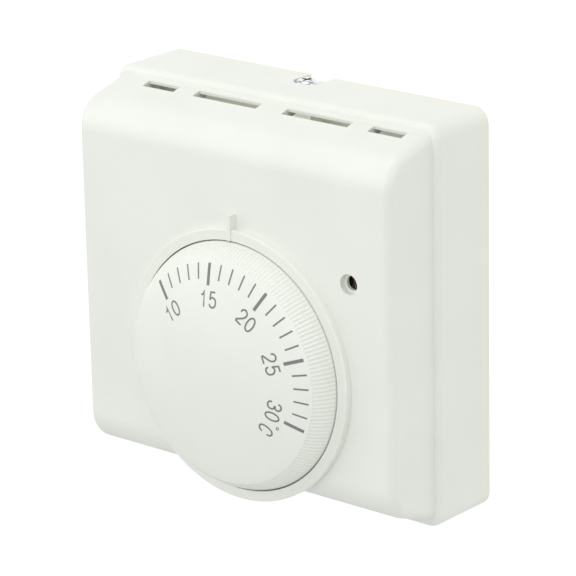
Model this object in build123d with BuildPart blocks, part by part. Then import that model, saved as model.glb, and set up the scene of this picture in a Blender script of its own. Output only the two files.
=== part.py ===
from build123d import *
import os
from math import asin, cos, degrees, radians, sin, tan

# Wall thermostat. X runs to the right, Y into the wall, Z up. The origin is the centre of the
# back face, on the wall. "Depth" is the distance out from the wall, so a depth d lies at y = -d.
os.makedirs("parts", exist_ok=True)

# ---- driving dimensions (mm) ----
width = 83.0
height = 83.0
corner_radius = 3.3
base_thickness = 2.6
step_depth = 16.3
front_depth = 29.9
wall = 2.0
edge_radius = 1.4

front_width = 80.4
front_height_at_step = 79.6
front_top_slope = 14.5
front_bottom_slope = 19.3
front_top_radius = 7.0
front_side_radius = 2.0
form_overlap = 3.0

dial_x = 2.3
dial_z = -10.9
boss_radius = 28.2
boss_depth = 31.5
boss_edge = 0.3
well_radius = 26.0
hub_hole_radius = 5.4

dial_back = 30.3
dial_shoulder_depth = 31.4
rim_bulge = (24.75, 33.7)
dial_rim_depth = 35.75
dial_base_radius = 25.7
dial_face_radius = 23.3
dial_dome = 3.7
dial_wall = 1.6
stop_radius = 19.5
stop_size = (2.4, 3.0)
dial_stop_angle = 180.0
cover_stop_angles = (61.7, 232.2)

vent_depth = 18.6
vent_opening = 2.2
vent_reach = 10.0
vent_relief = 3.2
vent_relief_reach = 7.4
short_vent = 8.3
long_vent = 16.6
vent_centres = {-27.15: short_vent, -9.5: long_vent, 13.7: long_vent, 31.2: short_vent}

neon_x = 30.2
neon_z = 11.2
neon_hole_radius = 2.1
neon_inner_radius = 1.5
neon_step = 1.3

pointer_x = 1.4
pointer_z = 17.75
pointer_size = (0.9, 5.3)
pointer_radius = 0.3
pointer_depth = 31.8

screw_x = -0.35
screw_depth = 4.6
notch_centre_x = 0.0
notch_width = 6.2
notch_corner_radius = 2.5
notch_depth = 7.3
notch_floor = 40.4

fixing_pitch = 60.3
fixing_slot_length = 7.0
fixing_slot_width = 4.2
cable_entry = (16.0, 8.0)
cable_entry_x = -25.0
cable_entry_z = 11.0

spindle_radius = 2.0
running_clearance = 0.03
fit_clearance = 0.02
d_flat = 0.5
spindle_back = 16.0
dial_seat_depth = 34.0
collar_depth = 25.4
clip_depth = 21.0
clip_groove_radius = 1.6
bush_back = 21.8
bush_front = 25.2
nut_front = 19.8
capsule_radius = 19.0
capsule_sheet = 0.3
bracket_sheet = 1.2
bracket_half_span = 22.0
bracket_half_width = 6.0
bracket_foot_depth = 4.6
bracket_top_depth = 22.8

terminal_pitch = 11.0
terminal_count = 4
terminal_first_x = -24.5
terminal_z = 22.75

dial_axis = Axis((dial_x, 0, dial_z), (0, -1, 0))
# Half-section plane through the dial axis: local x is the radius, local y is the depth.
dial_section = Plane(origin=(dial_x, 0, dial_z), x_dir=(1, 0, 0), z_dir=(0, 0, -1))


def depth_plane(depth):
    """Sketch plane parallel to the wall; extruding goes out from the wall."""
    return Plane.XZ.offset(depth)


def save(item, name):
    """Label a finished piece and write its STEP file."""
    item.label = name
    export_step(item, f"parts/{name}.step")


def ring(outer, inner, start, stop):
    """A plain ring or disc about the dial axis, between two depths."""
    with BuildPart() as body:
        with BuildSketch(depth_plane(start)):
            with Locations((dial_x, dial_z)):
                Circle(outer)
                if inner:
                    Circle(inner, mode=Mode.SUBTRACT)
        extrude(amount=stop - start)
    return body.part


def cross_head_screw(head_radius, head_height, shank_radius, shank_length):
    """A domed cross-head screw along +Z with the underside of its head at the origin."""
    arm = head_radius * 1.1
    slit = arm * 0.22
    recess = head_height * 1.1
    with BuildPart() as screw:
        Cylinder(shank_radius, shank_length, align=(Align.CENTER, Align.CENTER, Align.MAX))
        Cylinder(head_radius, head_height, align=(Align.CENTER, Align.CENTER, Align.MIN))
        fillet(screw.edges().sort_by(Axis.Z)[-1], head_height * 0.6)
        with Locations((0, 0, head_height)):
            Box(arm, slit, recess, mode=Mode.SUBTRACT)
            Box(slit, arm, recess, mode=Mode.SUBTRACT)
    return screw.part


def place_out(item, x, z, depth):
    """Stand a part made along +Z so that it points out from the wall."""
    return item.rotate(Axis.X, 90).translate((x, -depth, z))


# ---- cover form, used for the outside and, drawn in by the wall, for the inside ----
def front_form(inset):
    """The front section: a side profile with sloping top and bottom, and softened side edges."""
    half = front_width / 2 - inset
    start = step_depth - form_overlap
    rise = front_depth - step_depth
    half_height = front_height_at_step / 2 - inset
    top_lean = tan(radians(front_top_slope))
    bottom_lean = tan(radians(front_bottom_slope))
    top_start = half_height + form_overlap * top_lean
    top_front = half_height - rise * top_lean
    bottom_start = -half_height - form_overlap * bottom_lean
    bottom_front = -half_height + rise * bottom_lean
    with BuildPart() as form:
        with BuildSketch(Plane.YZ.offset(-half)) as profile:
            with BuildLine():
                Polyline((-start, bottom_start), (-start, top_start), (-front_depth + inset, top_front),
                         (-front_depth + inset, bottom_front), (-start, bottom_start))
            make_face()
            fillet(profile.vertices().group_by(Axis.X)[0], front_top_radius - inset)
        extrude(amount=2 * half)
        side_edges = form.faces().filter_by(Axis.X).edges()
        back_edges = form.faces().sort_by(Axis.Y)[-1].edges()
        if inset == 0:
            fillet([edge for edge in side_edges if edge not in back_edges], front_side_radius)
    return form.part


def cover_form(inset, back, boss_top):
    """The whole cover as a solid, drawn in by an inset, from a given depth outwards."""
    with BuildPart() as form:
        with BuildSketch(depth_plane(back)):
            RectangleRounded(width - 2 * inset, height - 2 * inset, corner_radius - inset)
        extrude(amount=step_depth - inset - back)
        if inset == 0:
            fillet(form.faces().sort_by(Axis.Y)[0].edges(), edge_radius)
        add(front_form(inset))
        with BuildSketch(depth_plane(step_depth - inset)):
            with Locations((dial_x, dial_z)):
                Circle(boss_radius - inset)
        extrude(amount=boss_top - step_depth + inset)
        if inset == 0:
            fillet(form.faces().sort_by(Axis.Y)[0].edges(), boss_edge)
    return form.part


def stop_block(angle, size, start, stop):
    """A small block at the stop radius, at an angle measured clockwise from the top."""
    x = dial_x + stop_radius * sin(radians(angle))
    z = dial_z + stop_radius * cos(radians(angle))
    with BuildPart() as block:
        with BuildSketch(depth_plane(start)):
            with Locations(Location((x, z), -angle)):
                Rectangle(*size)
        extrude(amount=stop - start)
    return block.part


def screw_notch():
    """The recess round the head of the cover screw, open to the wall side."""
    reach = 2 * notch_depth
    with BuildPart() as notch:
        with BuildSketch(Plane.XY.offset(notch_floor)):
            with Locations((notch_centre_x, 0)):
                RectangleRounded(notch_width, reach, notch_corner_radius)
        extrude(amount=height / 2 - notch_floor + 1)
    return notch.part


# ---- base plate ----
rim_gap = 0.2
rim_wall = 1.6
rim_height = 2.4
foot_boss_x = bracket_half_span + 3.8
foot_boss_radius = 3.2
foot_hole_radius = 1.2
foot_hole_floor = 1.0
lug_front = 8.6
lug_size = (8.0, 9.6)
lug_z = 34.5
nut_pocket_size = (5.2, 2.1)
nut_pocket_z = 33.0
screw_hole_radius = 1.4
rim_outer = width - 2 * (wall + rim_gap)
rim_inner = rim_outer - 2 * rim_wall
with BuildPart() as base_plate:
    with BuildSketch(depth_plane(0)):
        RectangleRounded(width, height, corner_radius)
    extrude(amount=base_thickness)
    with BuildSketch(depth_plane(base_thickness)):
        RectangleRounded(rim_outer, rim_outer, 1.2)
        RectangleRounded(rim_inner, rim_inner, 0.8, mode=Mode.SUBTRACT)
    extrude(amount=rim_height)
    for side in (-1, 1):
        with BuildSketch(depth_plane(base_thickness)):
            with Locations((dial_x + side * foot_boss_x, dial_z)):
                Circle(foot_boss_radius)
        extrude(amount=bracket_foot_depth - base_thickness)
        with BuildSketch(depth_plane(foot_hole_floor)):
            with Locations((dial_x + side * foot_boss_x, dial_z)):
                Circle(foot_hole_radius)
        extrude(amount=bracket_foot_depth, mode=Mode.SUBTRACT)
    with BuildSketch(depth_plane(base_thickness)):
        with Locations((screw_x, lug_z)):
            Rectangle(*lug_size)
    extrude(amount=lug_front - base_thickness)
    with BuildSketch(depth_plane(base_thickness)):
        with Locations((screw_x, nut_pocket_z)):
            Rectangle(*nut_pocket_size)
    extrude(amount=lug_front, mode=Mode.SUBTRACT)
    with Locations((screw_x, -screw_depth, lug_z)):
        Cylinder(screw_hole_radius, 1.2 * lug_size[1], mode=Mode.SUBTRACT)
    with BuildSketch(depth_plane(0)):
        with Locations((-fixing_pitch / 2, 0), (fixing_pitch / 2, 0)):
            SlotOverall(fixing_slot_length, fixing_slot_width)
        with Locations((cable_entry_x, cable_entry_z)):
            RectangleRounded(*cable_entry, 1.5)
    extrude(amount=base_thickness, mode=Mode.SUBTRACT)
    add(screw_notch(), mode=Mode.SUBTRACT)
save(base_plate.part, "base_plate")

# ---- front cover ----
cover_stop_depth = 32.6
with BuildPart() as front_cover:
    add(cover_form(0, base_thickness, boss_depth))
    add(cover_form(wall, base_thickness, front_depth - wall), mode=Mode.SUBTRACT)
    # well that takes the foot of the dial, leaving a raised ring round it
    with BuildSketch(depth_plane(front_depth)):
        with Locations((dial_x, dial_z)):
            Circle(well_radius)
    extrude(amount=boss_depth - front_depth, mode=Mode.SUBTRACT)
    with BuildSketch(depth_plane(front_depth - wall)):
        with Locations((dial_x, dial_z)):
            Circle(hub_hole_radius)
    extrude(amount=boss_depth, mode=Mode.SUBTRACT)
    for centre, length in vent_centres.items():
        for side in (-1, 1):
            inner_end = side * (height / 2 - vent_reach)
            with BuildSketch(Plane.XY.offset(inner_end)):
                with Locations((centre, -vent_depth)):
                    Rectangle(length, vent_opening)
            extrude(amount=side * vent_reach, mode=Mode.SUBTRACT)
            # the wall is relieved from inside behind each slot
            with BuildSketch(Plane.XY.offset(inner_end)):
                with Locations((centre, -vent_depth + (vent_opening + vent_relief) / 2)):
                    Rectangle(length, vent_relief)
            extrude(amount=side * vent_relief_reach, mode=Mode.SUBTRACT)
    with BuildSketch(depth_plane(front_depth - neon_step)):
        with Locations((neon_x, neon_z)):
            Circle(neon_hole_radius)
    extrude(amount=wall, mode=Mode.SUBTRACT)
    with BuildSketch(depth_plane(front_depth - 1.5 * wall)):
        with Locations((neon_x, neon_z)):
            Circle(neon_inner_radius)
    extrude(amount=1.5 * wall, mode=Mode.SUBTRACT)
    # pointer rib above the dial
    with BuildSketch(depth_plane(front_depth - wall / 2)):
        with Locations((pointer_x, pointer_z)):
            RectangleRounded(*pointer_size, pointer_radius)
    extrude(amount=pointer_depth - front_depth + wall / 2)
    for angle in cover_stop_angles:
        add(stop_block(angle, stop_size, front_depth - wall / 2, cover_stop_depth))
    with Locations((screw_x, -screw_depth, notch_floor)):
        Cylinder(screw_hole_radius, 2 * wall, mode=Mode.SUBTRACT)
    add(screw_notch(), mode=Mode.SUBTRACT)
save(front_cover.part, "front_cover")

# ---- cover screw and its captive nut ----
screw_head_radius = 2.35
screw_head_height = 1.4
screw_shank_radius = 1.25
screw_shank_length = 9.2
cover_screw = cross_head_screw(screw_head_radius, screw_head_height, screw_shank_radius,
                               screw_shank_length)
save(cover_screw.translate((screw_x, -screw_depth, notch_floor)), "cover_screw")

with BuildPart() as cover_screw_nut:
    with Locations((screw_x, -screw_depth, nut_pocket_z)):
        Box(5.0, 3.9, 2.0)
        Cylinder(screw_shank_radius, 2.0, mode=Mode.SUBTRACT)
save(cover_screw_nut.part, "cover_screw_nut")

# ---- setting dial ----
hub_radius = 4.6
hub_back = 27.0
inner_rim_depth = dial_rim_depth - dial_wall
lip = 0.4


def dome_arc(radius, rim_depth, dome):
    """Half of the shallow dome of the dial, from its rim to its middle, centred on the axis."""
    sphere = (radius ** 2 + dome ** 2) / (2 * dome)
    middle = rim_depth + dome - sphere
    sweep_angle = degrees(asin(radius / sphere))
    return CenterArc((0, middle), sphere, 90 - sweep_angle, sweep_angle)


def d_shaft(radius, start, stop):
    """A round shaft about the dial axis with one flat on its lower side."""
    with BuildPart() as shaft:
        with BuildSketch(depth_plane(start)):
            with Locations((dial_x, dial_z)):
                Circle(radius)
                with Locations((0, -radius)):
                    Rectangle(2 * radius, 2 * d_flat, mode=Mode.SUBTRACT)
        extrude(amount=stop - start)
    return shaft.part


with BuildPart() as dial_knob:
    with BuildSketch(dial_section):
        with BuildLine():
            foot = Polyline((dial_base_radius - dial_wall, dial_back), (dial_base_radius, dial_back),
                            (dial_base_radius, dial_shoulder_depth))
            ThreePointArc(foot @ 1, rim_bulge, (dial_face_radius, dial_rim_depth))
            face = dome_arc(dial_face_radius, dial_rim_depth, dial_dome)
            inside = dome_arc(dial_face_radius - dial_wall, inner_rim_depth, dial_dome - 0.2)
            Line(face @ 1, inside @ 1)
            inner_foot = (dial_base_radius - dial_wall, dial_back + lip)
            ThreePointArc(inside @ 0, (rim_bulge[0] - dial_wall, rim_bulge[1] - dial_wall), inner_foot)
            Line(inner_foot, foot @ 0)
        make_face()
    revolve(axis=dial_axis)
    with BuildSketch(depth_plane(hub_back)):
        with Locations((dial_x, dial_z)):
            Circle(hub_radius)
    extrude(amount=inner_rim_depth + dial_dome - hub_back)
    add(stop_block(dial_stop_angle, stop_size, dial_back + lip, dial_rim_depth - lip))
    add(d_shaft(spindle_radius + fit_clearance, hub_back, dial_seat_depth + fit_clearance),
        mode=Mode.SUBTRACT)
save(dial_knob.part, "dial_knob")

# ---- spindle, its bush, clip and friction washer ----
collar_radius = 3.2
collar_height = 0.8
clip_radius = 3.2
clip_height = 0.6
clip_gap = 2.2
washer_radius = 4.2
bush_radius = 3.5
bush_flange_radius = 5.0
with BuildPart() as dial_spindle:
    add(ring(spindle_radius, 0, spindle_back, hub_back))
    add(d_shaft(spindle_radius, hub_back, dial_seat_depth))
    add(ring(collar_radius, 0, collar_depth, collar_depth + collar_height))
    add(ring(collar_radius, clip_groove_radius, clip_depth, clip_depth + clip_height),
        mode=Mode.SUBTRACT)
save(dial_spindle.part, "dial_spindle")

with BuildPart() as spindle_circlip:
    add(ring(clip_radius, clip_groove_radius, clip_depth, clip_depth + clip_height))
    with BuildSketch(depth_plane(clip_depth)):
        with Locations((dial_x, dial_z + clip_radius)):
            Rectangle(clip_gap, 2 * (clip_radius - clip_groove_radius) + 0.6)
    extrude(amount=clip_height, mode=Mode.SUBTRACT)
save(spindle_circlip.part, "spindle_circlip")

save(ring(washer_radius, spindle_radius, collar_depth + collar_height, hub_back),
     "dial_friction_washer")

bracket_front = bracket_top_depth + bracket_sheet
with BuildPart() as spindle_bush:
    add(ring(bush_radius, 0, bush_back, bracket_front))
    add(ring(bush_flange_radius, 0, bracket_front, bush_front))
    add(ring(spindle_radius + running_clearance, 0, bush_back, bush_front), mode=Mode.SUBTRACT)
save(spindle_bush.part, "spindle_bush")

# ---- bridge bracket over the capsule, and its screws ----
foot_length = 7.6
foot_x = bracket_half_span + foot_length / 2
with BuildPart() as bridge_bracket:
    with BuildSketch(depth_plane(bracket_top_depth)):
        with Locations((dial_x, dial_z)):
            RectangleRounded(2 * (bracket_half_span + bracket_sheet), 2 * bracket_half_width, 0.5)
            Circle(bush_radius + fit_clearance, mode=Mode.SUBTRACT)
    extrude(amount=bracket_sheet)
    for side in (-1, 1):
        with BuildSketch(depth_plane(bracket_foot_depth)):
            with Locations((dial_x + side * (bracket_half_span + bracket_sheet / 2), dial_z)):
                Rectangle(bracket_sheet, 2 * bracket_half_width)
        extrude(amount=bracket_top_depth - bracket_foot_depth)
        with BuildSketch(depth_plane(bracket_foot_depth)):
            with Locations((dial_x + side * foot_x, dial_z)):
                RectangleRounded(foot_length, 2 * bracket_half_width, 0.5)
                Circle(foot_hole_radius + 0.4, mode=Mode.SUBTRACT)
        extrude(amount=bracket_sheet)
save(bridge_bracket.part, "bridge_bracket")

foot_screw = cross_head_screw(2.6, 1.5, foot_hole_radius, 4.6)
foot_top = bracket_foot_depth + bracket_sheet
bracket_screws = Compound(children=[
    place_out(foot_screw, dial_x + side * foot_x, dial_z, foot_top) for side in (-1, 1)])
save(bracket_screws, "bracket_screws")


# ---- gas-filled capsule on its carrier ----
seam_depth = 12.6
cup_depth = 1.2
cup_radius = 14.4
flange_radius = 15.6
corrugation_radii = (7.0, 10.5)
corrugation_width = 1.0
corrugation_height = 0.25
capsule_front = seam_depth + cup_depth + capsule_sheet
nut_flange_radius = 5.0
nut_flange_height = 0.8
nut_radius = 4.0


def capsule_disc(rim_depth, face_depth):
    """One pressed half of the capsule: a flat rim, a shallow cup and a raised centre."""
    out = 1 if face_depth > rim_depth else -1
    rim_outside = rim_depth + out * capsule_sheet
    face_outside = face_depth + out * capsule_sheet
    with BuildPart() as disc:
        with BuildSketch(dial_section):
            with BuildLine():
                Polyline((0, face_depth), (cup_radius, face_depth), (flange_radius, rim_depth),
                         (capsule_radius, rim_depth), (capsule_radius, rim_outside),
                         (flange_radius + capsule_sheet, rim_outside),
                         (cup_radius + capsule_sheet, face_outside), (0, face_outside),
                         (0, face_depth))
            make_face()
        revolve(axis=dial_axis)
        for radius in corrugation_radii:
            with BuildSketch(depth_plane(face_outside)):
                with Locations((dial_x, dial_z)):
                    Circle(radius + corrugation_width / 2)
                    Circle(radius - corrugation_width / 2, mode=Mode.SUBTRACT)
            extrude(amount=out * corrugation_height)
    return disc.part


save(capsule_disc(seam_depth, seam_depth + cup_depth), "capsule_front_disc")
save(capsule_disc(seam_depth, seam_depth - cup_depth), "capsule_rear_disc")

guide_back = capsule_front + nut_flange_height
with BuildPart() as capsule_nut:
    add(ring(nut_flange_radius, 0, capsule_front, guide_back))
    add(ring(nut_radius, 0, guide_back, nut_front))
    add(ring(spindle_radius + running_clearance, 0, guide_back - 0.2, nut_front),
        mode=Mode.SUBTRACT)
save(capsule_nut.part, "capsule_nut")

stub_radius = 0.8
stub_length = 3.2
stub_offset = 13.0
with BuildPart() as capsule_fill_stub:
    with BuildSketch(depth_plane(capsule_front)):
        with Locations((dial_x, dial_z - stub_offset)):
            Circle(stub_radius)
    extrude(amount=stub_length)
    fillet(capsule_fill_stub.edges().sort_by(Axis.Y)[0], stub_radius / 2)
save(capsule_fill_stub.part, "capsule_fill_stub")

guide_reach = bracket_half_span + 2.6
guide_width = 16.4
guide_sheet = 0.7
guide_ring_radius = 6.0
fork_depth = 4.6
fork_gap = 2 * bracket_half_width + 0.4
with BuildPart() as capsule_guide:
    with BuildSketch(depth_plane(guide_back)):
        with Locations((dial_x + guide_reach / 2, dial_z)):
            RectangleRounded(guide_reach, guide_width, 1.0)
        with Locations((dial_x + bracket_half_span + 2.0, dial_z)):
            Rectangle(fork_depth, fork_gap, mode=Mode.SUBTRACT)
        with Locations((dial_x, dial_z)):
            Circle(guide_ring_radius)
            Circle(nut_radius, mode=Mode.SUBTRACT)
    extrude(amount=guide_sheet)
save(capsule_guide.part, "capsule_guide")

# ---- snap switch behind the capsule ----
switch_top = 8.2
switch_floor = 3.4
switch_half_length = 14.0
switch_half_width = 5.0
switch_cavity = (21.0, 8.0)
switch_screw_x = 12.4
switch_screw_radius = 0.8
lid_sheet = 0.8
plunger_radius = 1.5
plunger_clearance = 0.06
with BuildPart() as switch_housing:
    with BuildSketch(depth_plane(base_thickness)):
        with Locations((dial_x, dial_z)):
            RectangleRounded(2 * switch_half_length, 2 * switch_half_width, 0.8)
    extrude(amount=switch_top - base_thickness)
    with BuildSketch(depth_plane(switch_floor)):
        with Locations((dial_x, dial_z)):
            RectangleRounded(*switch_cavity, 0.4)
    extrude(amount=switch_top - switch_floor, mode=Mode.SUBTRACT)
    with BuildSketch(depth_plane(base_thickness)):
        for side in (-1, 1):
            with Locations((dial_x + side * switch_screw_x, dial_z)):
                Circle(switch_screw_radius)
    extrude(amount=switch_top - base_thickness, mode=Mode.SUBTRACT)
save(switch_housing.part, "switch_housing")

with BuildPart() as switch_lid:
    with BuildSketch(depth_plane(switch_top)):
        with Locations((dial_x, dial_z)):
            RectangleRounded(2 * switch_half_length, 2 * switch_half_width, 0.8)
            Circle(plunger_radius + plunger_clearance, mode=Mode.SUBTRACT)
        for side in (-1, 1):
            with Locations((dial_x + side * switch_screw_x, dial_z)):
                Circle(switch_screw_radius, mode=Mode.SUBTRACT)
    extrude(amount=lid_sheet)
save(switch_lid.part, "switch_lid")

lid_screw = cross_head_screw(1.35, 0.8, switch_screw_radius, 6.0)
switch_screws = Compound(children=[
    place_out(lid_screw, dial_x + side * switch_screw_x, dial_z, switch_top + lid_sheet)
    for side in (-1, 1)])
save(switch_screws, "switch_screws")

plunger_back = 6.0
plunger_tip = 10.2
plunger_flange_radius = 2.6
plunger_flange_back = 7.5
plunger_flange_front = 8.1
with BuildPart() as switch_plunger:
    add(ring(plunger_radius, 0, plunger_back, plunger_tip))
    fillet(switch_plunger.edges().sort_by(Axis.Y)[0], plunger_radius / 3)
    add(ring(plunger_flange_radius, 0, plunger_flange_back, plunger_flange_front))
save(switch_plunger.part, "switch_plunger")

blade_depth = 5.4
blade_sheet = 0.3
blade_size = (17.0, 4.0)
blade_shift = -0.5
blade_slot = (4.5, 1.2)
blade_slot_shift = -5.5
contact_x = 6.5
contact_radius = 1.3
contact_height = 0.7
fixed_contact_height = 0.35
anchor_size = (1.3, 4.8)
anchor_height = 3.2
anchor_shift = -9.75
with BuildPart() as contact_blade:
    with BuildSketch(depth_plane(blade_depth)):
        with Locations((dial_x + blade_shift, dial_z)):
            RectangleRounded(*blade_size, 0.4)
        with Locations((dial_x + blade_slot_shift, dial_z)):
            SlotOverall(*blade_slot, mode=Mode.SUBTRACT)
    extrude(amount=blade_sheet)
save(contact_blade.part, "contact_blade")


def contact_button(start, stop):
    """A round silver contact under the free end of the blade."""
    with BuildPart() as button:
        with BuildSketch(depth_plane(start)):
            with Locations((dial_x + contact_x, dial_z)):
                Circle(contact_radius)
        extrude(amount=stop - start)
    return button.part


save(contact_button(blade_depth - contact_height, blade_depth), "moving_contact")
save(contact_button(switch_floor, switch_floor + fixed_contact_height), "fixed_contact")

with BuildPart() as blade_anchor:
    with BuildSketch(depth_plane(switch_floor)):
        with Locations((dial_x + anchor_shift, dial_z)):
            Rectangle(*anchor_size)
    extrude(amount=anchor_height)
save(blade_anchor.part, "blade_anchor")

# ---- terminal block with its clamps and screws ----
terminal_width = terminal_pitch * terminal_count
terminal_height = 12.5
terminal_top = 13.0
block_centre_x = terminal_first_x + terminal_pitch * (terminal_count - 1) / 2
terminal_xs = [terminal_first_x + terminal_pitch * index for index in range(terminal_count)]
pocket_back = 4.0
pocket_front = 10.6
pocket_size = (7.4, 9.0)
pocket_shift = -2.0
driver_hole_radius = 2.6
divider_slot_width = 1.2
divider_slot_depth = 1.6
with BuildPart() as terminal_block:
    with BuildSketch(depth_plane(base_thickness)):
        with Locations((block_centre_x, terminal_z)):
            RectangleRounded(terminal_width, terminal_height, 0.8)
    extrude(amount=terminal_top - base_thickness)
    for x in terminal_xs:
        with BuildSketch(depth_plane(pocket_back)):
            with Locations((x, terminal_z + pocket_shift)):
                Rectangle(*pocket_size)
        extrude(amount=pocket_front - pocket_back, mode=Mode.SUBTRACT)
        with BuildSketch(depth_plane(pocket_front)):
            with Locations((x, terminal_z)):
                Circle(driver_hole_radius)
        extrude(amount=terminal_top - pocket_front, mode=Mode.SUBTRACT)
    for x in terminal_xs[:-1]:
        with BuildSketch(depth_plane(terminal_top - divider_slot_depth)):
            with Locations((x + terminal_pitch / 2, terminal_z)):
                Rectangle(divider_slot_width, terminal_height)
        extrude(amount=divider_slot_depth, mode=Mode.SUBTRACT)
save(terminal_block.part, "terminal_block")

clamp_size = (6.4, 4.9, 5.0)
clamp_window = (4.4, 3.0)
clamp_screw_radius = 1.5
with BuildPart() as terminal_clamp:
    Box(*clamp_size)
    Box(clamp_window[0], 2 * clamp_size[1], clamp_window[1], mode=Mode.SUBTRACT)
    Cylinder(clamp_screw_radius, clamp_size[2], align=(Align.CENTER, Align.CENTER, Align.MIN),
             mode=Mode.SUBTRACT)
clamp_depth = pocket_front - clamp_size[2] / 2
terminal_clamps = Compound(children=[
    place_out(terminal_clamp.part, x, terminal_z, clamp_depth) for x in terminal_xs])
save(terminal_clamps, "terminal_clamps")

clamp_screw = cross_head_screw(2.4, 1.6, clamp_screw_radius, 2.4)
terminal_screws = Compound(children=[
    place_out(clamp_screw, x, terminal_z, pocket_front) for x in terminal_xs])
save(terminal_screws, "terminal_screws")

# ---- bus strips from the terminal block to the switch ----
strip_bottom = dial_z + switch_half_width
strip_top = terminal_z - terminal_height / 2
strip_xs = (dial_x + anchor_shift, dial_x + contact_x)
strip_width = 2.2
strip_sheet = 0.5
with BuildPart() as bus_strips:
    for x in strip_xs:
        with BuildSketch(depth_plane(base_thickness)):
            with Locations((x, (strip_bottom + strip_top) / 2)):
                Rectangle(strip_width, strip_top - strip_bottom)
        extrude(amount=strip_sheet)
save(bus_strips.part, "bus_strips")

# ---- neon indicator ----
neon_depth = 25.4
neon_radius = 2.1
neon_length = 11.0
neon_glass_wall = 0.35
neon_seal = 1.2
neon_axis = Axis((neon_x, -neon_depth, 0), (0, 0, 1))
neon_section = Plane(origin=(neon_x, -neon_depth, neon_z), x_dir=(1, 0, 0), z_dir=(0, -1, 0))


def bulb_form(radius, half):
    """A tube with a round nose at the bottom and a flat top, turned about its own axis."""
    with BuildPart() as form:
        with BuildSketch(neon_section):
            with BuildLine():
                Line((0, half), (radius, half))
                Line((radius, half), (radius, -half + radius))
                RadiusArc((radius, -half + radius), (0, -half), radius)
                Line((0, -half), (0, half))
            make_face()
        revolve(axis=neon_axis)
    return form.part


with BuildPart() as neon_glass:
    add(bulb_form(neon_radius, neon_length / 2))
    add(bulb_form(neon_radius - neon_glass_wall, neon_length / 2 - neon_seal), mode=Mode.SUBTRACT)
save(neon_glass.part, "neon_glass")

electrode_top = neon_z + neon_length / 2 - neon_seal
electrode_radius = 0.4
electrode_length = 7.0
lead_radius = 0.28
lead_offset = 0.75
with BuildPart() as neon_electrodes:
    with BuildSketch(Plane.XY.offset(electrode_top)):
        for side in (-1, 1):
            with Locations((neon_x + side * lead_offset, -neon_depth)):
                Circle(electrode_radius)
    extrude(amount=-electrode_length)
save(neon_electrodes.part, "neon_electrodes")

holder_bottom = 18.6
holder_top = 22.4
holder_width = 6.6
holder_front = 26.4
holder_foot = (3.0, 8.0)
with BuildPart() as neon_leads:
    with BuildSketch(Plane.XY.offset(neon_z + neon_length / 2)):
        for side in (-1, 1):
            with Locations((neon_x + side * lead_offset, -neon_depth)):
                Circle(lead_radius)
    extrude(amount=holder_bottom - neon_z - neon_length / 2)
save(neon_leads.part, "neon_leads")

with BuildPart() as neon_holder:
    with BuildSketch(Plane.XY.offset(holder_bottom)):
        with Locations((neon_x, -(base_thickness + holder_front) / 2)):
            Rectangle(holder_width, holder_front - base_thickness)
    extrude(amount=holder_top - holder_bottom)
    fillet(neon_holder.edges().filter_by(Axis.Z).group_by(Axis.Y)[0], 1.2)
    with Locations((neon_x, -base_thickness, holder_bottom)):
        Box(holder_width, *holder_foot, align=(Align.CENTER, Align.MAX, Align.MAX))
save(neon_holder.part, "neon_holder")

resistor_radius = 1.3
resistor_length = 7.0
resistor_back = 10.0
with BuildPart() as neon_resistor:
    with BuildSketch(depth_plane(resistor_back)):
        with Locations((neon_x, holder_top + resistor_radius)):
            Circle(resistor_radius)
    extrude(amount=resistor_length)
    fillet(neon_resistor.edges().filter_by(GeomType.CIRCLE), 0.4)
save(neon_resistor.part, "neon_resistor")

# ---- accelerator resistor near the capsule ----
accelerator_z = -33.8
accelerator_depth = 9.0
accelerator_radius = 1.6
accelerator_half = 4.5
leg_offset = 7.5
leg_bend = 1.2
leg_radius = 0.3
with BuildPart() as accelerator_resistor:
    with BuildSketch(Plane.YZ.offset(dial_x - accelerator_half)):
        with Locations((-accelerator_depth, accelerator_z)):
            Circle(accelerator_radius)
    extrude(amount=2 * accelerator_half)
    fillet(accelerator_resistor.edges().filter_by(GeomType.CIRCLE), 0.5)
save(accelerator_resistor.part, "accelerator_resistor")

with BuildPart() as accelerator_leads:
    for side in (-1, 1):
        with BuildLine():
            start = (dial_x + side * accelerator_half, -accelerator_depth, accelerator_z)
            corner = (dial_x + side * leg_offset, -accelerator_depth, accelerator_z)
            end = (dial_x + side * leg_offset, -base_thickness, accelerator_z)
            FilletPolyline(start, corner, end, radius=leg_bend)
        with BuildSketch(Plane(origin=start, z_dir=(side, 0, 0))):
            Circle(leg_radius)
        sweep()
save(accelerator_leads.part, "accelerator_leads")

# ---- earth parking terminal ----
earth_x = -29.0
earth_z = -27.0
earth_side = 7.0
earth_height = 6.0
earth_hole_floor = 4.2
earth_screw_radius = 1.5
wire_hole_radius = 1.3
wire_hole_depth = 5.4
with BuildPart() as earth_terminal:
    with BuildSketch(depth_plane(base_thickness)):
        with Locations((earth_x, earth_z)):
            RectangleRounded(earth_side, earth_side, 0.6)
    extrude(amount=earth_height)
    with BuildSketch(depth_plane(earth_hole_floor)):
        with Locations((earth_x, earth_z)):
            Circle(earth_screw_radius)
    extrude(amount=earth_height, mode=Mode.SUBTRACT)
    with Locations((earth_x, -wire_hole_depth, earth_z)):
        Cylinder(wire_hole_radius, 1.5 * earth_side, rotation=(0, 90, 0), mode=Mode.SUBTRACT)
save(earth_terminal.part, "earth_terminal")

earth_screw = cross_head_screw(2.4, 1.5, earth_screw_radius, 1.8)
save(place_out(earth_screw, earth_x, earth_z, base_thickness + earth_height), "earth_screw")
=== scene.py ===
import math
import bpy
import bmesh
from mathutils import Matrix, Vector


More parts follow.
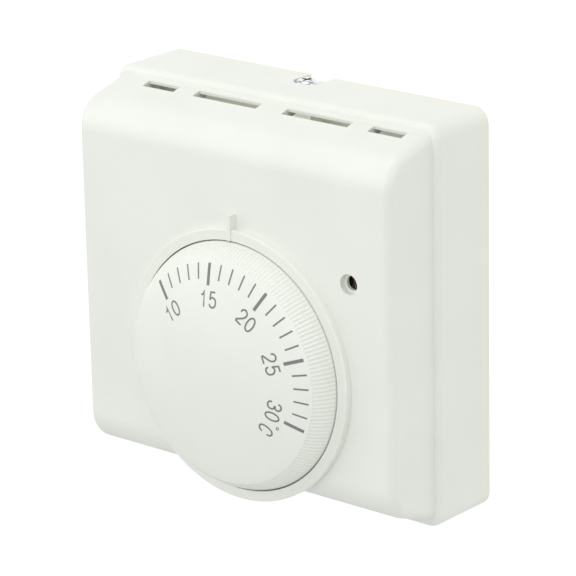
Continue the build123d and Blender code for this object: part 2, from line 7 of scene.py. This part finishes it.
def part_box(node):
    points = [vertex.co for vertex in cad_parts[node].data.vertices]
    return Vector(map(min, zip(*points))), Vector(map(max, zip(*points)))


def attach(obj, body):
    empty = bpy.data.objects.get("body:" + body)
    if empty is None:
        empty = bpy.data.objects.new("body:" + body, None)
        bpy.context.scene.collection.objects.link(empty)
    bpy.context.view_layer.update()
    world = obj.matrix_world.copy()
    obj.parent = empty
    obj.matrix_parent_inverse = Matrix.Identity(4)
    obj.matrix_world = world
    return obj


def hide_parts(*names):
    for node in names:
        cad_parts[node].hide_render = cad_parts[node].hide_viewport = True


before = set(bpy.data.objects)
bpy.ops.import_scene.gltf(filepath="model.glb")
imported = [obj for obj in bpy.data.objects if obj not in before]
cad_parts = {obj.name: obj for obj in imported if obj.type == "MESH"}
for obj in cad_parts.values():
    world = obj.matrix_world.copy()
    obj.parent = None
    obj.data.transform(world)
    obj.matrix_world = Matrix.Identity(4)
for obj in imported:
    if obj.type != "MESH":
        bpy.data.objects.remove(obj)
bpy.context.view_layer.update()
MM = 0.001

# ---- driving values, in metres and degrees ----
knob_low, knob_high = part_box("dial_knob")
spindle_low, spindle_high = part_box("dial_spindle")
plate_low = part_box("base_plate")[0]
DIAL_X = (spindle_low.x + spindle_high.x) / 2
DIAL_Z = (spindle_low.z + spindle_high.z) / 2
DIAL_TIP = -knob_low.y
DIAL_BASE_RADIUS = 25.7 * MM
DIAL_BACK = 30.3 * MM
DIAL_SHOULDER = 31.4 * MM
DIAL_BULGE = (24.75 * MM, 33.7 * MM)
DIAL_RIM_DEPTH = 35.75 * MM
DIAL_FACE_RADIUS = 23.3 * MM
DIAL_DOME = DIAL_TIP - DIAL_RIM_DEPTH
DIAL_WALL = 1.6 * MM
RIBS = 180
RIB_HEIGHT = 0.30 * MM
POINTS_PER_RIB = 6
RIM_STEPS = 16
FACE_STEPS = 15
INSIDE_STEPS = 10

SCALE_FIRST = 10
SCALE_LAST = 30
SCALE_START = -44.2
SCALE_STEP = 7.724
SCALE_MAJOR = 5
TICK_OUTER = 22.5 * MM
TICK_MINOR = 19.4 * MM
TICK_MAJOR = 18.2 * MM
TICK_MINOR_WIDTH = 0.35 * MM
TICK_MAJOR_WIDTH = 0.70 * MM
NUMERAL_RADIUS = 15.5 * MM
NUMERAL_ANGLES = {"10": -44.3, "15": -5.0, "20": 32.9, "25": 70.0, "30": 106.5, "C": 124.1}
DEGREE_ANGLE = 117.3
DEGREE_RADIUS = 16.9 * MM
DEGREE_SIZE = 0.5
CAP_HEIGHT = 3.35 * MM
FIGURE_WIDTH = 1.95 * MM
FIGURE_PITCH = 2.40 * MM
PEN = 0.36 * MM
INK_HEIGHT = 0.02 * MM
TICK_PARTS = 5
MITRE_LIMIT = 0.4

FLOOR_DROP = 0.90
FLOOR_REACH = 5
BACKDROP_Y = 1.05
BACKDROP_REACH = 4
BACKDROP_TOP = 1.6
WORLD_STRENGTH = 0.557


# ---- materials ----
class Shader:
    """A node material built around one Principled shader."""

    def __init__(self, name):
        self.material = bpy.data.materials.new(name)
        self.material.use_nodes = True
        self.nodes = self.material.node_tree.nodes
        self.links = self.material.node_tree.links
        self.surface = self.nodes["Principled BSDF"]
        self.place = self.nodes.new("ShaderNodeTexCoord").outputs["Object"]

    def noise(self, scale, detail, stretch=None):
        """Noise in the object's own coordinates, stretched along an axis if asked."""
        place = self.place
        if stretch:
            mapping = self.nodes.new("ShaderNodeMapping")
            mapping.inputs["Scale"].default_value = stretch
            self.links.new(place, mapping.inputs["Vector"])
            place = mapping.outputs["Vector"]
        node = self.nodes.new("ShaderNodeTexNoise")
        node.inputs["Scale"].default_value = scale
        node.inputs["Detail"].default_value = detail
        self.links.new(place, node.inputs["Vector"])
        return node.outputs["Fac"]

    def ramp(self, value, low, high, start=0.35, stop=0.65):
        """A change between two colours over the middle of a value's range."""
        node = self.nodes.new("ShaderNodeValToRGB")
        node.color_ramp.elements[0].position = start
        node.color_ramp.elements[0].color = (*low, 1)
        node.color_ramp.elements[1].position = stop
        node.color_ramp.elements[1].color = (*high, 1)
        self.links.new(value, node.inputs["Fac"])
        return node.outputs["Color"]

    def bump(self, value, strength, distance):
        node = self.nodes.new("ShaderNodeBump")
        node.inputs["Strength"].default_value = strength
        node.inputs["Distance"].default_value = distance
        self.links.new(value, node.inputs["Height"])
        self.links.new(node.outputs["Normal"], self.surface.inputs["Normal"])

    def colour(self, value):
        self.links.new(value, self.surface.inputs["Base Color"])

    def roughness(self, value, low, high):
        node = self.nodes.new("ShaderNodeMapRange")
        node.inputs["To Min"].default_value = low
        node.inputs["To Max"].default_value = high
        self.links.new(value, node.inputs["Value"])
        self.links.new(node.outputs["Result"], self.surface.inputs["Roughness"])

    def set(self, **values):
        for key, value in values.items():
            self.surface.inputs[key.replace("_", " ")].default_value = value


def scaled(colour, factor):
    return tuple(channel * factor for channel in colour)


def moulded_plastic(name, colour, rough=0.42, texture=0.006, spread=0.012):
    """Moulded plastic: fine spark texture, slight flow marks and faint change of colour."""
    flow_marks, gloss_marks, spark_grain = 55, 120, 9000
    spark_depth = 0.2 * MM
    shader = Shader(name)
    shader.colour(shader.ramp(shader.noise(flow_marks, 2), scaled(colour, 1 - spread),
                              scaled(colour, 1 + spread)))
    shader.roughness(shader.noise(gloss_marks, 3), rough - 0.05, rough + 0.06)
    shader.bump(shader.noise(spark_grain, 2), texture, spark_depth)
    shader.set(IOR=1.5)
    return shader.material


def metal(name, colour, rough=0.3, brushed=None, spread=0.06):
    """Metal with fine drawing or machining lines and a little change of colour."""
    clouding, polish_marks, tool_marks = 260, 900, 2500
    mark_strength = 0.08
    mark_depth = 0.1 * MM
    stretch = brushed or (1, 1, 1)
    shader = Shader(name)
    shader.colour(shader.ramp(shader.noise(clouding, 3), scaled(colour, 1 - spread),
                              scaled(colour, 1 + spread)))
    shader.roughness(shader.noise(polish_marks, 4, stretch), rough - 0.08, rough + 0.12)
    shader.bump(shader.noise(tool_marks, 3, stretch), mark_strength, mark_depth)
    shader.set(Metallic=1.0)
    return shader.material


WHITE = (0.80, 0.825, 0.765)
cover_white = moulded_plastic("cover_white", WHITE)
dial_white = moulded_plastic("dial_white", scaled(WHITE, 1.01), rough=0.38)
base_white = moulded_plastic("base_white", (0.82, 0.825, 0.74), rough=0.5)
ink_grey = moulded_plastic("ink_grey", (0.20, 0.205, 0.20), rough=0.55, texture=0.01)
chrome = metal("chrome_plate", (0.78, 0.79, 0.82), rough=0.12, spread=0.02)
zinc = metal("zinc_plate", (0.56, 0.57, 0.58), rough=0.32, brushed=(1, 1, 12))
spring_steel = metal("spring_steel", (0.30, 0.32, 0.36), rough=0.28)
brass = metal("turned_brass", (0.72, 0.52, 0.22), rough=0.26, brushed=(1, 14, 1))
bronze = metal("pressed_bronze", (0.66, 0.47, 0.26), rough=0.3)
copper = metal("copper_alloy", (0.74, 0.38, 0.24), rough=0.28)
silver = metal("fine_silver", (0.86, 0.86, 0.84), rough=0.2)
phenolic = moulded_plastic("phenolic_brown", (0.050, 0.026, 0.016), rough=0.35, spread=0.15)
plunger_red = moulded_plastic("plunger_red", (0.50, 0.045, 0.025), rough=0.3, spread=0.05)
terminal_cream = moulded_plastic("terminal_cream", (0.62, 0.56, 0.40), rough=0.45, spread=0.03)


def clear_glass():
    """Thin clear glass with faint drawing waves."""
    shader = Shader("clear_glass")
    shader.set(Transmission_Weight=1.0, IOR=1.47)
    shader.surface.inputs["Base Color"].default_value = (0.96, 0.95, 0.92, 1)
    shader.roughness(shader.noise(300, 2), 0.01, 0.05)
    shader.bump(shader.noise(400, 2, (1, 1, 0.3)), 0.05, 0.0002)
    return shader.material


def banded_resistor(name, body, bands, axis, centre, half):
    """Lacquered resistor body with colour bands across its length."""
    first_band, band_pitch, band_width, last_end = 0.2, 0.17, 0.08, 0.95
    shader = Shader(name)
    split = shader.nodes.new("ShaderNodeSeparateXYZ")
    shader.links.new(shader.place, split.inputs["Vector"])
    along = shader.nodes.new("ShaderNodeMapRange")
    along.inputs["From Min"].default_value = centre - half
    along.inputs["From Max"].default_value = centre + half
    shader.links.new(split.outputs[axis], along.inputs["Value"])
    node = shader.nodes.new("ShaderNodeValToRGB")
    node.color_ramp.interpolation = "CONSTANT"
    node.color_ramp.elements[0].color = (*body, 1)
    node.color_ramp.elements[1].position = last_end
    node.color_ramp.elements[1].color = (*body, 1)
    for index, band in enumerate(bands):
        start = first_band + band_pitch * index
        for position, tint in ((start, band), (start + band_width, body)):
            element = node.color_ramp.elements.new(position)
            element.color = (*tint, 1)
    shader.links.new(along.outputs["Result"], node.inputs["Fac"])
    shader.colour(node.outputs["Color"])
    shader.roughness(shader.noise(500, 2), 0.2, 0.35)
    shader.bump(shader.noise(1500, 2), 0.05, 0.0001)
    return shader.material


# ---- mesh helpers ----
def new_piece(name, mesh, material, smooth=True):
    piece = bpy.data.objects.new(name, mesh)
    bpy.context.scene.collection.objects.link(piece)
    mesh.materials.append(material)
    for polygon in mesh.polygons:
        polygon.use_smooth = smooth
    return piece


def mesh_from(name, points, faces):
    mesh = bpy.data.meshes.new(name)
    mesh.from_pydata(points, [], faces)
    build = bmesh.new()
    build.from_mesh(mesh)
    bmesh.ops.remove_doubles(build, verts=build.verts, dist=1e-7)
    bmesh.ops.recalc_face_normals(build, faces=build.faces)
    build.to_mesh(mesh)
    build.free()
    return mesh


def dome_depth(radius):
    """Depth of the dial's domed face at a radius."""
    sphere = (DIAL_FACE_RADIUS ** 2 + DIAL_DOME ** 2) / (2 * DIAL_DOME)
    return DIAL_TIP - sphere + math.sqrt(sphere ** 2 - radius ** 2)


def on_dial(radius, angle, depth):
    """A point from a radius about the dial axis, an angle clockwise from the top and a depth."""
    turn = math.radians(angle)
    return (DIAL_X + radius * math.sin(turn), -depth, DIAL_Z + radius * math.cos(turn))


def turned(name, profile, segments, swell=None):
    """A surface of revolution about the dial axis through (radius, depth) points, closed in a loop."""
    points, faces = [], []
    count = len(profile)
    for index in range(segments):
        angle = 360 * index / segments
        for ring, (radius, depth) in enumerate(profile):
            extra = swell(ring, angle) if swell else 0
            points.append(on_dial(radius + extra, angle, depth))
    for index in range(segments):
        here, there = index * count, (index + 1) % segments * count
        for ring in range(count):
            after = (ring + 1) % count
            faces.append((here + ring, here + after, there + after, there + ring))
    return mesh_from(name, points, faces)


# ---- camera ----
VIEW_AZIMUTH = 40.36
VIEW_ELEVATION = 18.265
VIEW_ROLL = -1.233
VIEW_DISTANCE = 697.19 * MM
VIEW_OFFSET = (-2.983 * MM, 1.118 * MM)
LENS = 216.6
target = Vector((0, -17 * MM, 0))
azimuth, elevation = math.radians(VIEW_AZIMUTH), math.radians(VIEW_ELEVATION)
back = Vector((math.sin(azimuth) * math.cos(elevation), -math.cos(azimuth) * math.cos(elevation),
               math.sin(elevation)))
level = (-back).cross(Vector((0, 0, 1))).normalized()
rise = level.cross(-back)
roll = math.radians(VIEW_ROLL)
right = level * math.cos(roll) + rise * math.sin(roll)
up = rise * math.cos(roll) - level * math.sin(roll)
camera_data = bpy.data.cameras.new("camera")
camera_data.lens = LENS
camera = bpy.data.objects.new("camera", camera_data)
bpy.context.scene.collection.objects.link(camera)
place = target - right * VIEW_OFFSET[0] + up * VIEW_OFFSET[1] + back * VIEW_DISTANCE
camera.matrix_world = Matrix((right, up, back)).transposed().to_4x4()
camera.location = place
bpy.context.scene.camera = camera

# ---- carried-over CAD nodes get their materials ----
node_materials = {
    "front_cover": cover_white, "base_plate": base_white, "neon_holder": base_white,
    "cover_screw": chrome, "cover_screw_nut": zinc, "bridge_bracket": zinc, "bracket_screws": zinc,
    "capsule_guide": zinc, "switch_screws": zinc, "terminal_screws": zinc, "earth_screw": zinc,
    "spindle_circlip": spring_steel, "dial_friction_washer": spring_steel,
    "dial_spindle": brass, "spindle_bush": brass, "capsule_nut": brass, "blade_anchor": brass,
    "terminal_clamps": brass, "bus_strips": brass, "earth_terminal": brass,
    "capsule_front_disc": bronze, "capsule_rear_disc": bronze,
    "capsule_fill_stub": copper, "contact_blade": copper,
    "moving_contact": silver, "fixed_contact": silver,
    "neon_electrodes": zinc, "neon_leads": zinc, "accelerator_leads": zinc,
    "switch_housing": phenolic, "switch_lid": phenolic, "switch_plunger": plunger_red,
    "terminal_block": terminal_cream, "neon_glass": clear_glass(), "dial_knob": dial_white,
}
TAN = (0.50, 0.34, 0.17)
BROWN, BLACK, ORANGE, GOLD = (0.12, 0.04, 0.02), (0.01, 0.01, 0.01), (0.7, 0.16, 0.02), (0.6, 0.42, 0.12)
for node_name, axis, bands in (("neon_resistor", "Y", (BROWN, BLACK, ORANGE, GOLD)),
                               ("accelerator_resistor", "X", (ORANGE, ORANGE, BROWN, GOLD))):
    low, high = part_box(node_name)
    coordinate = {"X": 0, "Y": 1}[axis]
    node_materials[node_name] = banded_resistor(
        node_name + "_lacquer", TAN, bands, axis, (low[coordinate] + high[coordinate]) / 2,
        (high[coordinate] - low[coordinate]) / 2)
for node_name, material in node_materials.items():
    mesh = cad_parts[node_name].data
    mesh.materials.clear()
    mesh.materials.append(material)


# ---- dial with its ribbed rim ----
def arc_through(first, second, third):
    """Centre, radius and the two end angles of the arc through three points."""
    (ax, ay), (bx, by), (cx, cy) = first, second, third
    area = 2 * (ax * (by - cy) + bx * (cy - ay) + cx * (ay - by))
    squares = [x * x + y * y for x, y in (first, second, third)]
    x = (squares[0] * (by - cy) + squares[1] * (cy - ay) + squares[2] * (ay - by)) / area
    y = (squares[0] * (cx - bx) + squares[1] * (ax - cx) + squares[2] * (bx - ax)) / area
    return ((x, y), math.hypot(ax - x, ay - y), math.atan2(ay - y, ax - x), math.atan2(cy - y, cx - x))


def dial_piece():
    """The setting dial: ribbed, slightly convex rim, domed face, hollow behind."""
    profile, ribbed = [], []
    foot_edge = 0.1 * MM
    shoulder_start = DIAL_BACK + 0.4 * MM
    fade_in, fade_out = 8, 16

    def ring(radius, depth, rib=0.0):
        profile.append((radius, depth))
        ribbed.append(rib)

    # foot of the rim, its edges broken
    ring(DIAL_BASE_RADIUS - DIAL_WALL, DIAL_BACK + foot_edge)
    ring(DIAL_BASE_RADIUS - DIAL_WALL + foot_edge, DIAL_BACK)
    ring(DIAL_BASE_RADIUS - 4.5 * foot_edge, DIAL_BACK)
    ring(DIAL_BASE_RADIUS - foot_edge, DIAL_BACK + 0.6 * foot_edge)
    ring(DIAL_BASE_RADIUS, DIAL_BACK + 2 * foot_edge)
    for share in (0.0, 0.5, 1.0):
        ring(DIAL_BASE_RADIUS, shoulder_start + (DIAL_SHOULDER - shoulder_start) * share)
    # ribbed part of the rim, the ribs fading out at both ends
    middle, reach, low, high = arc_through((DIAL_BASE_RADIUS, DIAL_SHOULDER), DIAL_BULGE,
                                           (DIAL_FACE_RADIUS, DIAL_RIM_DEPTH))
    for index in range(1, RIM_STEPS):
        share = index / RIM_STEPS
        turn = low + (high - low) * share
        ring(middle[0] + reach * math.cos(turn), middle[1] + reach * math.sin(turn),
             min(1.0, share * fade_in, (1 - share) * fade_out))
    # domed face, then the inside back to the foot
    ring(DIAL_FACE_RADIUS - 0.08 * MM, DIAL_RIM_DEPTH)
    inner = DIAL_FACE_RADIUS - 0.2 * MM
    for index in range(FACE_STEPS):
        radius = inner * (1 - index / FACE_STEPS)
        ring(radius, dome_depth(radius))
    ring(0.0, DIAL_TIP)
    ring(0.0, DIAL_TIP - DIAL_WALL)
    for index in range(1, INSIDE_STEPS + 1):
        radius = (DIAL_FACE_RADIUS - DIAL_WALL) * index / INSIDE_STEPS
        ring(radius, dome_depth(radius) - DIAL_WALL)

    def swell(ring_index, angle):
        return -RIB_HEIGHT * ribbed[ring_index] * (0.5 - 0.5 * math.cos(math.radians(angle * RIBS)))

    mesh = turned("dial_body", profile, RIBS * POINTS_PER_RIB, swell)
    return new_piece("dial_body", mesh, dial_white)


dial = dial_piece()
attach(dial, "dial")
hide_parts("dial_knob")


# ---- print on the dial ----
def curve_through(points, closed=False, steps=8):
    """A smooth line through the points (Catmull-Rom)."""
    count = len(points)
    line = []
    for index in range(count if closed else count - 1):
        if closed:
            a, b, c, d = (points[(index + shift) % count] for shift in (-1, 0, 1, 2))
        else:
            a, b = points[max(index - 1, 0)], points[index]
            c, d = points[index + 1], points[min(index + 2, count - 1)]
        for step in range(steps):
            t = step / steps
            line.append(tuple(
                0.5 * (2 * b[k] + (c[k] - a[k]) * t + (2 * a[k] - 5 * b[k] + 4 * c[k] - d[k]) * t ** 2
                       + (3 * b[k] - a[k] - 3 * c[k] + d[k]) * t ** 3) for k in (0, 1)))
    if not closed:
        line.append(points[-1])
    return line


def stroke(points, pen, closed=False):
    """Left and right edges of a pen line of even width, with mitred corners."""
    count = len(points)
    edges = []
    for index, (x, y) in enumerate(points):
        before = points[(index - 1) % count] if closed or index else None
        after = points[(index + 1) % count] if closed or index < count - 1 else None
        headings = []
        for start, stop in ((before, (x, y)), ((x, y), after)):
            if start and stop:
                heading = Vector((stop[0] - start[0], stop[1] - start[1]))
                headings.append(heading.normalized())
        normals = [Vector((-heading.y, heading.x)) for heading in headings]
        mitre = sum(normals, Vector((0, 0))).normalized()
        reach = pen / 2 / max(mitre.dot(normals[0]), MITRE_LIMIT)
        edges.append(((x + mitre.x * reach, y + mitre.y * reach),
                      (x - mitre.x * reach, y - mitre.y * reach)))
    return edges


def swung(point, turn):
    """A point of the dial face turned clockwise about the dial axis."""
    across, along = point
    return (across * math.cos(turn) + along * math.sin(turn),
            along * math.cos(turn) - across * math.sin(turn))


# Centre lines of the characters in a box one unit wide and one unit high: (points, smooth, closed).
GLYPHS = {
    "0": [([(0.5, 1), (0.14, 0.86), (0, 0.5), (0.14, 0.14), (0.5, 0), (0.86, 0.14), (1, 0.5),
            (0.86, 0.86)], True, True)],
    "1": [([(0.12, 0.76), (0.42, 0.80), (0.60, 1.0), (0.60, 0.0)], False, False)],
    "2": [([(0.02, 0.70), (0.12, 0.90), (0.50, 1.0), (0.88, 0.90), (0.97, 0.72), (0.84, 0.52),
            (0.45, 0.30), (0.10, 0.12), (0.0, 0.0)], True, False),
          ([(0.0, 0.0), (1.0, 0.0)], False, False)],
    "3": [([(0.04, 0.74), (0.14, 0.91), (0.48, 1.0), (0.82, 0.91), (0.93, 0.76), (0.80, 0.59),
            (0.42, 0.54)], True, False),
          ([(0.42, 0.54), (0.84, 0.47), (1.0, 0.27), (0.86, 0.08), (0.48, 0.0), (0.12, 0.09),
            (0.0, 0.27)], True, False)],
    "5": [([(0.90, 1.0), (0.20, 1.0), (0.09, 0.50)], False, False),
          ([(0.09, 0.50), (0.26, 0.61), (0.54, 0.65), (0.88, 0.54), (1.0, 0.32), (0.86, 0.09),
            (0.48, 0.0), (0.14, 0.07), (0.0, 0.24)], True, False)],
    "C": [([(0.98, 0.70), (0.84, 0.92), (0.50, 1.0), (0.14, 0.88), (0.0, 0.5), (0.14, 0.12),
            (0.50, 0.0), (0.85, 0.09), (1.0, 0.32)], True, False)],
    "degree": [([(0.5, 1.0), (0.18, 0.93), (0.18, 0.76), (0.5, 0.69), (0.82, 0.76), (0.82, 0.93)],
                True, True)],
}


class Print:
    """Ink laid on the domed face of the dial, gathered into one mesh."""

    def __init__(self):
        self.points, self.faces = [], []

    def band(self, edges, closed=False):
        """A ribbon of ink between pairs of edge points."""
        first = len(self.points)
        for pair in edges:
            for across, along in pair:
                radius = math.hypot(across, along)
                self.points.append((DIAL_X + across, -dome_depth(radius) - INK_HEIGHT, DIAL_Z + along))
        count = len(edges)
        for index in range(count if closed else count - 1):
            here, there = first + 2 * index, first + 2 * ((index + 1) % count)
            self.faces.append((here, here + 1, there + 1, there))

    def tick(self, angle, inner, outer, width):
        """A radial mark at an angle clockwise from the top."""
        turn = math.radians(angle)
        line = [inner + (outer - inner) * part / TICK_PARTS for part in range(TICK_PARTS + 1)]
        self.band([(swung((-width / 2, radius), turn), swung((width / 2, radius), turn))
                   for radius in line])

    def text(self, names, angle, radius, size=1.0):
        """Characters on a straight line, upright to the rim at the angle."""
        turn = math.radians(angle)
        pen = PEN * size
        width, height = FIGURE_WIDTH * size - pen, CAP_HEIGHT * size - pen
        for index, name in enumerate(names):
            start = (index - (len(names) - 1) / 2) * FIGURE_PITCH - width / 2
            for points, smooth, closed in GLYPHS[name]:
                line = [(start + x * width, radius - height / 2 + y * height) for x, y in points]
                if smooth:
                    line = curve_through(line, closed)
                self.band([(swung(left, turn), swung(right_side, turn))
                           for left, right_side in stroke(line, pen, closed)], closed)


scale_print = Print()
for value in range(SCALE_FIRST, SCALE_LAST + 1):
    value_angle = SCALE_START + SCALE_STEP * (value - SCALE_FIRST)
    if value % SCALE_MAJOR:
        scale_print.tick(value_angle, TICK_MINOR, TICK_OUTER, TICK_MINOR_WIDTH)
    else:
        scale_print.tick(value_angle, TICK_MAJOR, TICK_OUTER, TICK_MAJOR_WIDTH)
for label, label_angle in NUMERAL_ANGLES.items():
    scale_print.text(tuple(label), label_angle, NUMERAL_RADIUS)
scale_print.text(("degree",), DEGREE_ANGLE, DEGREE_RADIUS, DEGREE_SIZE)
scale_mesh = mesh_from("dial_scale", scale_print.points, scale_print.faces)
scale = new_piece("dial_scale", scale_mesh, ink_grey, smooth=False)
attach(scale, "dial")

# ---- light and floor ----
scene = bpy.context.scene
scene.view_settings.view_transform = "Standard"
world = bpy.data.worlds.new("world")
scene.world = world
world.use_nodes = True
world.node_tree.nodes["Background"].inputs["Color"].default_value = (1.0, 1.0, 1.0, 1)
world.node_tree.nodes["Background"].inputs["Strength"].default_value = WORLD_STRENGTH

# name: (place, aim, size of the light, power in watts). The shell glow is inside the cover, turned
# to the wall. It stands for the light that comes through the thin white shell.
LIGHTS = {
    "top_softbox": ((-0.10, -0.30, 1.00), target, (0.9, 0.7), 3.38),
    "front_softbox": ((0.10, -1.25, 0.35), target, (0.9, 0.9), 4.92),
    "left_softbox": ((-1.00, -0.60, 0.30), target, (0.8, 0.8), 3.02),
    "right_softbox": ((1.05, -0.15, 0.20), target, (0.6, 0.8), 2.04),
    "shell_glow": ((0, -0.012, 0.033), Vector((0, 0, 0.033)), (0.070, 0.008), 0.0013),
}


def soft_light(name, place, aim, size, power):
    data = bpy.data.lights.new(name, "AREA")
    data.shape = "RECTANGLE"
    data.size, data.size_y = size
    data.energy = power
    light = bpy.data.objects.new(name, data)
    scene.collection.objects.link(light)
    light.location = place
    light.rotation_euler = (aim - Vector(place)).to_track_quat("-Z", "Y").to_euler()


for light_name, light_values in LIGHTS.items():
    soft_light(light_name, *light_values)


def pale_sheet(name, points, tint, glow):
    """A plain matt sheet of the studio, with a glow of its own if asked."""
    mesh = mesh_from(name, points, [(0, 1, 2, 3)])
    shader = Shader(name)
    shader.colour(shader.ramp(shader.noise(1.5, 2), scaled(tint, 0.98), scaled(tint, 1.02)))
    shader.surface.inputs["Emission Color"].default_value = (1, 1, 1, 1)
    shader.set(Roughness=0.9, Emission_Strength=glow)
    sheet = new_piece(name, mesh, shader.material, smooth=False)


floor_z = plate_low.z - FLOOR_DROP
corners = ((-1, -1), (1, -1), (1, 1), (-1, 1))
pale_sheet("floor", [(x * FLOOR_REACH, y * FLOOR_REACH, floor_z) for x, y in corners],
           (0.80, 0.80, 0.80), 0.0)
pale_sheet("backdrop", [(x * BACKDROP_REACH, BACKDROP_Y, floor_z if z < 0 else BACKDROP_TOP)
                        for x, z in corners], (0.90, 0.90, 0.90), 0.41)
